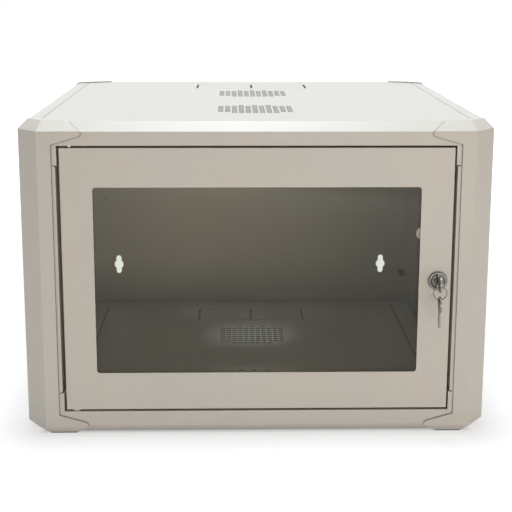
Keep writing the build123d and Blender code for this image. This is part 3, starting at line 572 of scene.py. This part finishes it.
def separate_boxes(node):
    """The lowest and highest corners of each separate solid of a node."""
    copy = bmesh.new()
    copy.from_mesh(nodes[node].data)
    bmesh.ops.remove_doubles(copy, verts=copy.verts, dist=MERGE_DISTANCE)
    left = set(copy.verts)
    boxes = []
    while left:
        group = [left.pop()]
        for vertex in group:
            for edge in vertex.link_edges:
                other = edge.other_vert(vertex)
                if other in left:
                    left.remove(other)
                    group.append(other)
        boxes.append(tuple(Vector(pick(v.co[axis] for v in group) for axis in range(3))
                           for pick in (min, max)))
    copy.free()
    return sorted(boxes, key=lambda box: tuple(round(value, 5) for value in box[0]))


def spun(outline, steps):
    """A shape turned round Z from (radius, height) points, merged where its ends meet."""
    shape = bmesh.new()
    corners = [shape.verts.new((radius, 0.0, height)) for radius, height in outline]
    edges = [shape.edges.new(pair) for pair in zip(corners, corners[1:])]
    bmesh.ops.spin(shape, geom=corners + edges, cent=(0, 0, 0), axis=(0, 0, 1), dvec=(0, 0, 0),
                   angle=2 * pi, steps=steps, use_merge=True)
    bmesh.ops.remove_doubles(shape, verts=shape.verts, dist=1e-7)
    return shape


def thread(radius, low, high, pitch, depth):
    """The zigzag outline of a thread between two heights."""
    turns = max(1, round((high - low) / pitch))
    step = (high - low) / turns
    points = [(radius - depth, low)]
    for turn in range(turns):
        points += [(radius, low + (turn + 0.5) * step), (radius - depth, low + (turn + 1) * step)]
    return points


def cross_head_screw(head_r, head_tall, shank_r, shank_long):
    """A pan head screw with a cross recess, its seat at zero and its head up."""
    tip_r = shank_r * 0.6
    tip_tall = 0.0005
    seat_r = head_r * 0.96
    wall_tall = head_tall * 0.12
    rim = 0.52 * head_r
    recess_half = 0.40 * head_r
    recess_deep = 0.55 * head_tall
    recess_slope = 0.06 * head_r
    arm = 0.15 * head_r
    outline = [(0.0, -shank_long), (tip_r, -shank_long)]
    outline += thread(shank_r, -shank_long + tip_tall, 0.0, pitch=0.001, depth=0.00035)
    outline += [(shank_r, 0.0), (seat_r, 0.0), (head_r, wall_tall)]
    outline += [(rim + (head_r - rim) * cos(turn), head_tall * (0.3 + 0.68 * sin(turn)))
                for turn in QUARTER_TURN[:-1]]
    outline.append((rim, head_tall))
    screw = spun(outline, 24)
    grid = bmesh.ops.create_grid(screw, x_segments=3, y_segments=3, size=recess_half,
                                 matrix=Matrix.Translation((0, 0, head_tall)))
    face_set = {face for vertex in grid["verts"] for face in vertex.link_faces}
    cross = [face for face in face_set
             if min(abs(face.calc_center_median().x), abs(face.calc_center_median().y)) < arm]
    bmesh.ops.bridge_loops(screw, edges=[edge for edge in screw.edges if edge.is_boundary])
    bmesh.ops.inset_region(screw, faces=cross, thickness=recess_slope, depth=-recess_deep)
    return with_sharp_edges(screw)


def threaded_stud(radius, long):
    """A plain threaded stud from zero upwards, with a chamfered tip."""
    tip = 0.6 * radius
    outline = [(0.0, 0.0)] + thread(radius, 0.0, long - radius / 3, pitch=0.001, depth=0.0004)
    outline += [(tip, long), (0.0, long)]
    return with_sharp_edges(spun(outline, 24))


def lay(target, shape, place, up):
    """Adds a shape to a piece, moved to a place and turned so that its Z points up the axis."""
    mesh = bpy.data.meshes.new("laid")
    shape.to_mesh(mesh)
    mesh.transform(Matrix.Translation(place) @ Vector(up).to_track_quat("Z", "Y")
                   .to_matrix().to_4x4())
    target.from_mesh(mesh)
    bpy.data.meshes.remove(mesh)


def along(box, axis):
    """A box's middle, and its ends on the axis."""
    low, high = box
    middle = (low + high) / 2
    return middle, low[axis], high[axis]


def unit(axis, side):
    """The direction of an axis, towards one side."""
    direction = Vector((0, 0, 0))
    direction[axis] = side
    return direction


SCREW_HEAD_R = 0.0055
SCREW_HEAD_TALL = 0.0032
FLAT_HEAD_TALL = 0.001
SCREW_SHANK_R = 0.0029


def screws_for(node, axis, head_tall, head_up):
    """Cross head screws in place of a node's plain ones; head_up tells which end the head is."""
    piece = bmesh.new()
    for box in separate_boxes(node):
        middle, low, high = along(box, axis)
        side = head_up(middle)
        screw = cross_head_screw(SCREW_HEAD_R, head_tall, SCREW_SHANK_R, high - low - head_tall)
        middle[axis] = high - head_tall if side > 0 else low + head_tall
        lay(piece, screw, middle, unit(axis, side))
        screw.free()
    to_piece(piece, node, "_crosshead")


def lock_face(node, axis, outward, face_r, barrel_r, bore, proud):
    """A chromed lock housing: threaded barrel, spun rim and a dish round the core."""
    low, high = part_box(node)
    middle, start, stop = along((Vector(low), Vector(high)), axis)
    long = stop - start
    seat = long - proud
    thread_deep = 0.0006
    flat_rim = 0.0006
    roll = min(0.0016, proud * 0.6)
    dish = face_r - roll - flat_rim
    dish_floor = long - 0.0011
    outline = [(bore, 0.0), (barrel_r - thread_deep, 0.0)]
    outline += thread(barrel_r, 0.0005, seat, pitch=0.0014, depth=thread_deep)
    outline += [(barrel_r, seat), (face_r - 0.0002, seat), (face_r, seat + 0.0003)]
    outline += [(face_r - roll + roll * cos(turn), long - roll + roll * sin(turn))
                for turn in QUARTER_TURN]
    outline += [(dish, long - 0.0001), (dish - 0.0007, long - 0.0006)]
    outline += [(bore + 0.0009, dish_floor), (bore + 0.0003, long - 0.0009), (bore, dish_floor)]
    housing = spun(outline + [(bore, 0.0)], 64)
    piece = bmesh.new()
    middle[axis] = start if outward > 0 else stop
    lay(piece, with_sharp_edges(housing), middle, unit(axis, outward))
    housing.free()
    to_piece(piece, node, "_spun")


def split_ring():
    """The key ring: flat spring wire with rounded corners, wound nearly twice."""
    low, high = (Vector(corner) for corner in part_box("key_ring"))
    wire = (high.y - low.y) / 2
    reach = (high.x - low.x) / 2 - wire
    half_tall = wire * 0.90
    half_thick = wire * 0.45
    turns = 1.9
    steps = 120
    coil = bmesh.new()
    profile = [coil.verts.new((reach + x * half_tall, y * half_thick - wire / 2, 0.0))
               for x, y in ((-1, -0.3), (-0.6, -1), (0.6, -1), (1, -0.3),
                            (1, 0.3), (0.6, 1), (-0.6, 1), (-1, 0.3))]
    end = coil.faces.new(profile)
    bmesh.ops.spin(coil, geom=[end, *end.edges, *profile], cent=(0, 0, 0), axis=(0, 1, 0),
                   dvec=(0, wire / steps, 0), angle=2 * pi * turns, steps=steps)
    bmesh.ops.translate(coil, verts=coil.verts, vec=(low + high) / 2)
    to_piece(with_sharp_edges(coil), "key_ring", "_wound")


for sheet in (
    "front_frame", "rear_frame", "door_frame",
    "corner_post_front_left", "corner_post_front_right",
    "corner_post_rear_left", "corner_post_rear_right",
    "top_rail_left", "top_rail_right", "base_rail_left", "base_rail_right",
    "side_panel_left", "side_panel_right", "rack_rail_left", "rack_rail_right",
    "depth_bracket_low_left", "depth_bracket_low_right",
    "depth_bracket_high_left", "depth_bracket_high_right",
):
    folded_sheet(sheet)

for vented in ("top_panel", "bottom_panel"):
    folded_sheet(vented, cut=VENT_CUT_RADIUS, shortest=VENTED_SHORTEST)

for small in ("lock_cam", "glass_clips", "lock_nut", "lock_plug", "rack_rail_nuts",
              "earth_nut", "glass_clip_nuts", "upper_hinge_guide", "door_pads",
              "lower_hinge_pin", "side_latch_nut_left", "side_latch_nut_right",
              "side_latch_plug_left", "side_latch_plug_right",
              "side_latch_cam_left", "side_latch_cam_right", "door_glass"):
    eased(small)

cabinet_middle_z = sum(corner[2] for corner in cad_box) / 2
screws_for("rack_rail_screws", 0, SCREW_HEAD_TALL, lambda middle: -1 if middle.x > 0 else 1)
screws_for("bracket_screws", 2, SCREW_HEAD_TALL,
           lambda middle: -1 if middle.z > cabinet_middle_z else 1)
screws_for("rear_panel_screws", 1, FLAT_HEAD_TALL, lambda middle: 1)

lock_face("lock_body", axis=1, outward=-1, face_r=0.0113, barrel_r=0.0095, bore=0.00605,
          proud=0.003)
for side, outward in (("right", 1), ("left", -1)):
    lock_face("side_latch_body_" + side, axis=0, outward=outward, face_r=0.011, barrel_r=0.008,
              bore=0.00505, proud=0.0025)

split_ring()
coined_key("key")
coined_key("spare_key")

hinge_coil = to_piece(merged_copy("upper_hinge_spring"), "upper_hinge_spring", "_wound")
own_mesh(hinge_coil)

stud_low, stud_high = (Vector(corner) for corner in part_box("earth_stud"))
stud = bmesh.new()
stud_shape = threaded_stud((stud_high.x - stud_low.x) / 2, stud_high.y - stud_low.y)
lay(stud, stud_shape, ((stud_low.x + stud_high.x) / 2, stud_high.y,
                       (stud_low.z + stud_high.z) / 2), (0, -1, 0))
stud_shape.free()
to_piece(stud, "earth_stud", "_threaded")


# Stage, light and camera

def mix_by_ray(tree, plain, shown):
    """The shown shader for camera, glossy and transmission rays, and the plain one otherwise."""
    path = add(tree, "ShaderNodeLightPath")
    seen = arithmetic(tree, "MAXIMUM", path.outputs["Is Camera Ray"],
                      arithmetic(tree, "MAXIMUM", path.outputs["Is Glossy Ray"],
                                 path.outputs["Is Transmission Ray"]))
    either = add(tree, "ShaderNodeMixShader")
    tree.links.new(seen, either.inputs[0])
    tree.links.new(plain, either.inputs[1])
    tree.links.new(shown, either.inputs[2])
    return either.outputs[0]


def floor_glow(tree, place):
    """The floor's own white: less near the cabinet, where the shadow shows, none under it.

    The ranges are metres from the cabinet's middle. The white starts inside its outline at
    the front and sides, and just past it at the back.
    """
    length = add(tree, "ShaderNodeVectorMath", operation="LENGTH")
    tree.links.new(place, length.inputs[0])
    open_floor = spread(tree, length.outputs["Value"], low=0.66, high=1.0, start=0.45, stop=1.6)
    apart = add(tree, "ShaderNodeSeparateXYZ")
    tree.links.new(place, apart.inputs[0])
    x = arithmetic(tree, "ABSOLUTE", apart.outputs["X"])
    y = apart.outputs["Y"]
    past_side = spread(tree, x, low=0.0, high=1.0, start=0.255, stop=0.285)
    past_front = spread(tree, y, low=1.0, high=0.0, start=-0.25, stop=-0.225)
    past_back = spread(tree, y, low=0.0, high=1.0, start=0.285, stop=0.31)
    outside = arithmetic(tree, "MAXIMUM", past_side,
                         arithmetic(tree, "MAXIMUM", past_front, past_back))
    return arithmetic(tree, "MULTIPLY", open_floor, outside)


def make_floor():
    """A wide pale floor that shows white and keeps a soft shadow."""
    plane = bmesh.new()
    bmesh.ops.create_grid(plane, x_segments=1, y_segments=1, size=9.0)
    mesh = bpy.data.meshes.new("floor")
    plane.to_mesh(mesh)
    plane.free()
    floor = bpy.data.objects.new("floor", mesh)
    scene.collection.objects.link(floor)
    finish, tree, shader = new_finish("pale_floor", FLOOR_BOUNCE, roughness=0.9)
    shader.inputs["Specular IOR Level"].default_value = 0.0
    place = object_place(tree)
    glow = add(tree, "ShaderNodeEmission")
    tree.links.new(floor_glow(tree, place), glow.inputs["Strength"])
    matt = add(tree, "ShaderNodeBsdfDiffuse")
    matt.inputs["Color"].default_value = (*FLOOR_SHOWN, 1.0)
    shown = add(tree, "ShaderNodeAddShader")
    tree.links.new(glow.outputs[0], shown.inputs[0])
    tree.links.new(matt.outputs[0], shown.inputs[1])
    tree.links.new(mix_by_ray(tree, shader.outputs[0], shown.outputs[0]),
                   tree.nodes["Material Output"].inputs["Surface"])
    mesh.materials.append(finish)


def make_world():
    """Surroundings that show white and light the cabinet evenly."""
    world = bpy.data.worlds.new("studio")
    scene.world = world
    world.use_nodes = True
    tree = world.node_tree
    light = tree.nodes["Background"]
    light.inputs["Color"].default_value = (*ROOM_LIGHT, 1.0)
    light.inputs["Strength"].default_value = 0.29
    white = add(tree, "ShaderNodeBackground")
    white.inputs["Color"].default_value = (*WHITE, 1.0)
    tree.links.new(mix_by_ray(tree, light.outputs[0], white.outputs[0]),
                   tree.nodes["World Output"].inputs["Surface"])


def soft_lamp(name, place, target, size, power, colour):
    """A rectangular studio lamp aimed at a point."""
    lamp = bpy.data.lights.new(name, "AREA")
    lamp.shape = "RECTANGLE"
    lamp.size, lamp.size_y = size
    lamp.energy = power
    lamp.color = colour
    obj = bpy.data.objects.new(name, lamp)
    scene.collection.objects.link(obj)
    obj.location = place
    obj.rotation_euler = (Vector(target) - Vector(place)).to_track_quat("-Z", "Y").to_euler()


def make_camera(place, pitch, yaw, roll, lens, shift):
    """The camera at a place, turned by its angles, with the picture shifted up or down."""
    ahead = Vector((sin(yaw) * cos(pitch), cos(yaw) * cos(pitch), -sin(pitch)))
    right = Vector((cos(yaw), -sin(yaw), 0.0))
    down = ahead.cross(right)
    level = right * cos(roll) + down * sin(roll)
    drop = down * cos(roll) - right * sin(roll)
    turn = Matrix((level, -drop, -ahead)).transposed()
    camera = bpy.data.cameras.new("camera")
    camera.sensor_width = 36.0
    camera.lens = lens
    camera.shift_y = shift
    camera.clip_start = 0.05
    obj = bpy.data.objects.new("camera", camera)
    scene.collection.objects.link(obj)
    obj.matrix_world = Matrix.Translation(place) @ turn.to_4x4()
    scene.camera = obj


make_floor()
make_world()
soft_lamp("overhead_softbox", place=(0.0, -0.06, 2.4), target=(0.0, -0.06, 0.3),
          size=(1.3, 1.2), power=14.0, colour=(0.80, 0.91, 1.0))
soft_lamp("ceiling_lamp", place=(0.0, 0.05, 6.0), target=(0.0, 0.05, 0.3),
          size=(0.8, 0.8), power=228.0, colour=(0.88, 0.965, 1.0))
soft_lamp("front_softbox", place=(0.5, -2.6, 0.65), target=(0.0, 0.0, 0.2),
          size=(2.4, 0.9), power=3.8, colour=(1.0, 0.89, 0.81))
soft_lamp("low_front_softbox", place=(0.6, -1.8, 0.14), target=(0.0, 0.0, 0.05),
          size=(2.2, 0.2), power=6.4, colour=(1.0, 0.90, 0.82))
make_camera(place=(-0.0318, -1.63184, 0.58675), pitch=0.2023, yaw=0.0220, roll=-0.0023,
            lens=78.86, shift=-0.0977)
scene.view_settings.view_transform = "Standard"
